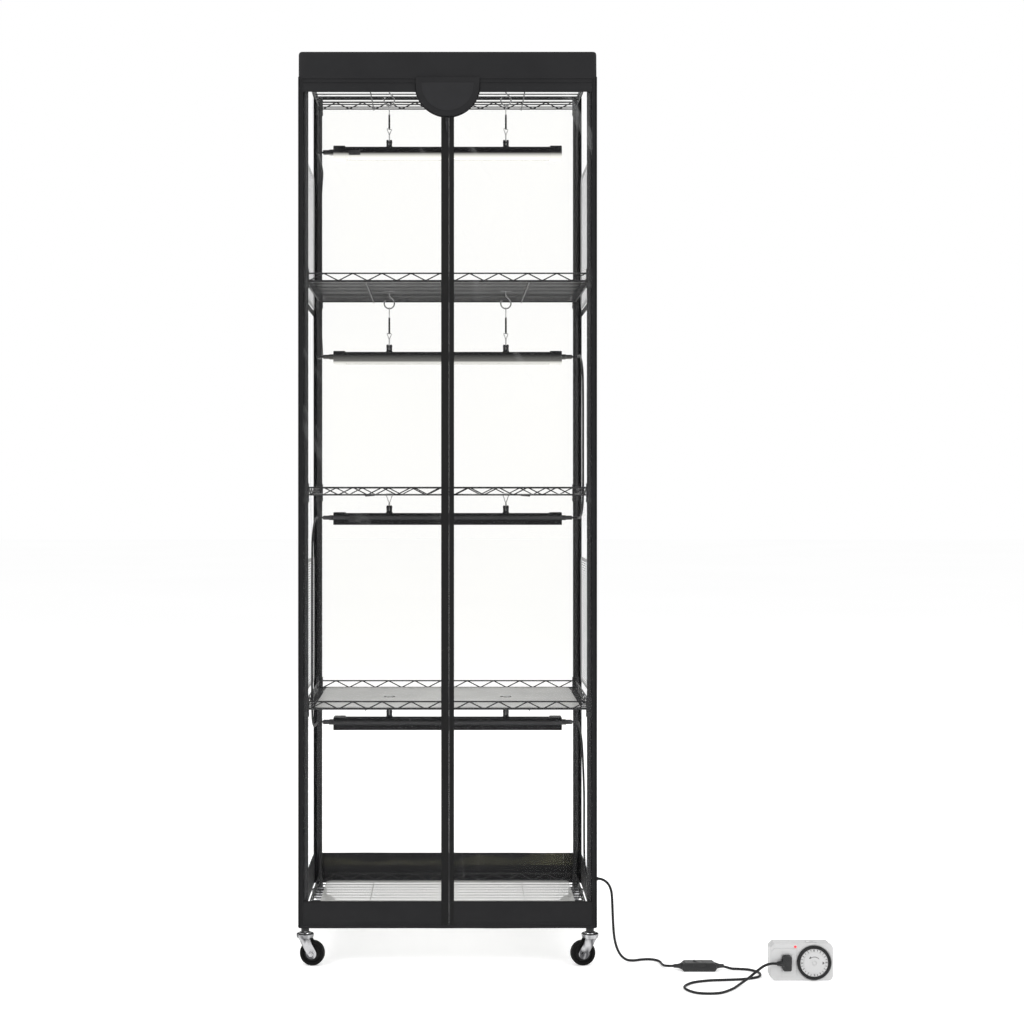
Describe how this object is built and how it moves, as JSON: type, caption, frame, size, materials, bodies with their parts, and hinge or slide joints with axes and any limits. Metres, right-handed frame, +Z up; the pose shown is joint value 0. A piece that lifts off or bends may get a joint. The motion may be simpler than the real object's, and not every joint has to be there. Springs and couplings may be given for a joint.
{
  "type": "indoor greenhouse",
  "caption": "Wire shelving tower in a clear zip-up cover on casters, with hanging grow lights, a power cord with an inline switch and a plug-in timer.",
  "frame": {"origin": "middle of the cabinet's footprint on the floor", "axes": "+Z up, +X to the right seen from the front, the doors face -Y"},
  "size_m": [1.056, 0.5975, 1.839],
  "materials": {
    "black_wire": "satin powder coat",
    "black_plastic": "matt",
    "liner": "frosted",
    "black_cloth": "woven",
    "clear_film": "clear",
    "white_mesh": "open mesh",
    "badge": "gloss",
    "chrome": "polished",
    "dark_steel": "dark plated",
    "light_body": "satin",
    "light_lens": "frosted, lit",
    "cord": "satin",
    "zinc": "zinc plated",
    "wheel": "satin",
    "white_plastic": "semi-gloss"
  },
  "bodies": {
    "cabinet": {"posts": "black_wire", "shelf_1": "black_wire", "shelf_2": "black_wire", "shelf_3": "black_wire", "shelf_4": "black_wire", "shelf_5": "black_wire", "shelf_clips": "black_plastic", "shelf_liners": "liner", "cover_header": "black_cloth", "cover_top_film": "clear_film", "cover_side_film_left": "clear_film", "cover_side_film_right": "clear_film", "cover_rear_film": "clear_film", "cover_skirt": "black_cloth", "cover_trims": "black_cloth", "vent_meshes": "white_mesh", "badge": "badge", "s_hooks": "chrome", "jumper_leads": "cord", "caster_stems": "zinc", "cord_gland": "black_plastic", "power_cord_a": "cord", "power_cord_b": "cord", "inline_switch": "black_plastic", "plug": "black_plastic", "timer_case": "white_plastic"},
    "left_door": {"door_film_left": "clear_film", "door_border_left": "black_cloth"},
    "right_door": {"door_film_right": "clear_film", "door_border_right": "black_cloth"},
    "zip_slider": {"zip_slider": "black_plastic"},
    "zip_pull": {"zip_pull": "dark_steel"},
    "light_1": {"light_housing_1": "light_body", "light_lens_1": "light_lens", "light_hanger_1": "dark_steel"},
    "light_1_switch": {"light_switch_1": "black_plastic"},
    "light_2": {"light_housing_2": "light_body", "light_lens_2": "light_lens", "light_hanger_2": "dark_steel"},
    "light_2_switch": {"light_switch_2": "black_plastic"},
    "light_3": {"light_housing_3": "light_body", "light_lens_3": "light_lens", "light_hanger_3": "dark_steel"},
    "light_3_switch": {"light_switch_3": "black_plastic"},
    "light_4": {"light_housing_4": "light_body", "light_lens_4": "light_lens", "light_hanger_4": "dark_steel"},
    "light_4_switch": {"light_switch_4": "black_plastic"},
    "caster_fl": {"caster_fork_fl": "zinc"},
    "wheel_fl": {"caster_wheel_fl": "wheel"},
    "caster_fr": {"caster_fork_fr": "zinc"},
    "wheel_fr": {"caster_wheel_fr": "wheel"},
    "caster_rl": {"caster_fork_rl": "zinc"},
    "wheel_rl": {"caster_wheel_rl": "wheel"},
    "caster_rr": {"caster_fork_rr": "zinc"},
    "wheel_rr": {"caster_wheel_rr": "wheel"},
    "inline_rocker": {"inline_rocker": "black_plastic"},
    "timer_dial": {"timer_dial": "white_plastic", "timer_pins": "black_plastic"},
    "timer_mode": {"timer_mode_switch": "white_plastic"}
  },
  "joints": [
    {"name": "left_door_hinge", "type": "hinge", "parent": "cabinet", "child": "left_door", "pos_m": [-0.2909, -0.197, 0.9], "axis": [0, 0, -1], "range_deg": [0, 120]},
    {"name": "right_door_hinge", "type": "hinge", "parent": "cabinet", "child": "right_door", "pos_m": [0.2909, -0.197, 0.9], "axis": [0, 0, 1], "range_deg": [0, 120]},
    {"name": "zip_slide", "type": "slide", "parent": "left_door", "child": "zip_slider", "axis": [0, 0, -1], "range_m": [0, 1.59]},
    {"name": "zip_pull_pivot", "type": "hinge", "parent": "zip_slider", "child": "zip_pull", "pos_m": [-0.0008, -0.2014, 1.7005], "axis": [-1, 0, 0], "range_deg": [0, 170]},
    {"name": "light_1_swing", "type": "hinge", "parent": "cabinet", "child": "light_1", "pos_m": [0, 0, 1.7745], "axis": [1, 0, 0], "range_deg": [-20, 20]},
    {"name": "light_1_rocker", "type": "hinge", "parent": "light_1", "child": "light_1_switch", "pos_m": [-0.197, -0.0183, 1.6713], "axis": [0, 0, 1], "range_deg": [0, 12]},
    {"name": "light_2_swing", "type": "hinge", "parent": "cabinet", "child": "light_2", "pos_m": [0, 0, 1.3427], "axis": [1, 0, 0], "range_deg": [-20, 20]},
    {"name": "light_2_rocker", "type": "hinge", "parent": "light_2", "child": "light_2_switch", "pos_m": [0.197, 0.0183, 1.2363], "axis": [0, 0, 1], "range_deg": [0, 12]},
    {"name": "light_3_swing", "type": "hinge", "parent": "cabinet", "child": "light_3", "pos_m": [0, 0, 0.9468], "axis": [1, 0, 0], "range_deg": [-20, 20]},
    {"name": "light_3_rocker", "type": "hinge", "parent": "light_3", "child": "light_3_switch", "pos_m": [-0.197, -0.0183, 0.8943], "axis": [0, 0, 1], "range_deg": [0, 12]},
    {"name": "light_4_swing", "type": "hinge", "parent": "cabinet", "child": "light_4", "pos_m": [0, 0, 0.515], "axis": [1, 0, 0], "range_deg": [-20, 20]},
    {"name": "light_4_rocker", "type": "hinge", "parent": "light_4", "child": "light_4_switch", "pos_m": [0.197, 0.0183, 0.4598], "axis": [0, 0, 1], "range_deg": [0, 12]},
    {"name": "caster_swivel_fl", "type": "hinge", "parent": "cabinet", "child": "caster_fl", "pos_m": [-0.287, -0.187, 0.057], "axis": [0, 0, 1], "continuous": true},
    {"name": "wheel_spin_fl", "type": "hinge", "parent": "caster_fl", "child": "wheel_fl", "pos_m": [-0.27223, -0.1896, 0.025], "axis": [0.1736, 0.9848, 0], "continuous": true},
    {"name": "caster_swivel_fr", "type": "hinge", "parent": "cabinet", "child": "caster_fr", "pos_m": [0.287, -0.187, 0.057], "axis": [0, 0, 1], "continuous": true},
    {"name": "wheel_spin_fr", "type": "hinge", "parent": "caster_fr", "child": "wheel_fr", "pos_m": [0.27223, -0.1896, 0.025], "axis": [0.1736, -0.9848, 0], "continuous": true},
    {"name": "caster_swivel_rl", "type": "hinge", "parent": "cabinet", "child": "caster_rl", "pos_m": [-0.287, 0.187, 0.057], "axis": [0, 0, 1], "continuous": true},
    {"name": "wheel_spin_rl", "type": "hinge", "parent": "caster_rl", "child": "wheel_rl", "pos_m": [-0.27223, 0.1844, 0.025], "axis": [0.1736, 0.9848, 0], "continuous": true},
    {"name": "caster_swivel_rr", "type": "hinge", "parent": "cabinet", "child": "caster_rr", "pos_m": [0.287, 0.187, 0.057], "axis": [0, 0, 1], "continuous": true},
    {"name": "wheel_spin_rr", "type": "hinge", "parent": "caster_rr", "child": "wheel_rr", "pos_m": [0.27223, 0.1844, 0.025], "axis": [0.1736, -0.9848, 0], "continuous": true},
    {"name": "inline_rocker_pivot", "type": "hinge", "parent": "cabinet", "child": "inline_rocker", "pos_m": [0.5, -0.228, 0.0164], "axis": [0, -1, 0], "range_deg": [0, 14]},
    {"name": "timer_dial_turn", "type": "hinge", "parent": "cabinet", "child": "timer_dial", "pos_m": [0.7135, -0.3, 0.0362], "axis": [0, -1, 0], "continuous": true},
    {"name": "timer_mode_slide", "type": "slide", "parent": "cabinet", "child": "timer_mode", "axis": [1, 0, 0], "range_m": [0, 0.006]}
  ]
}
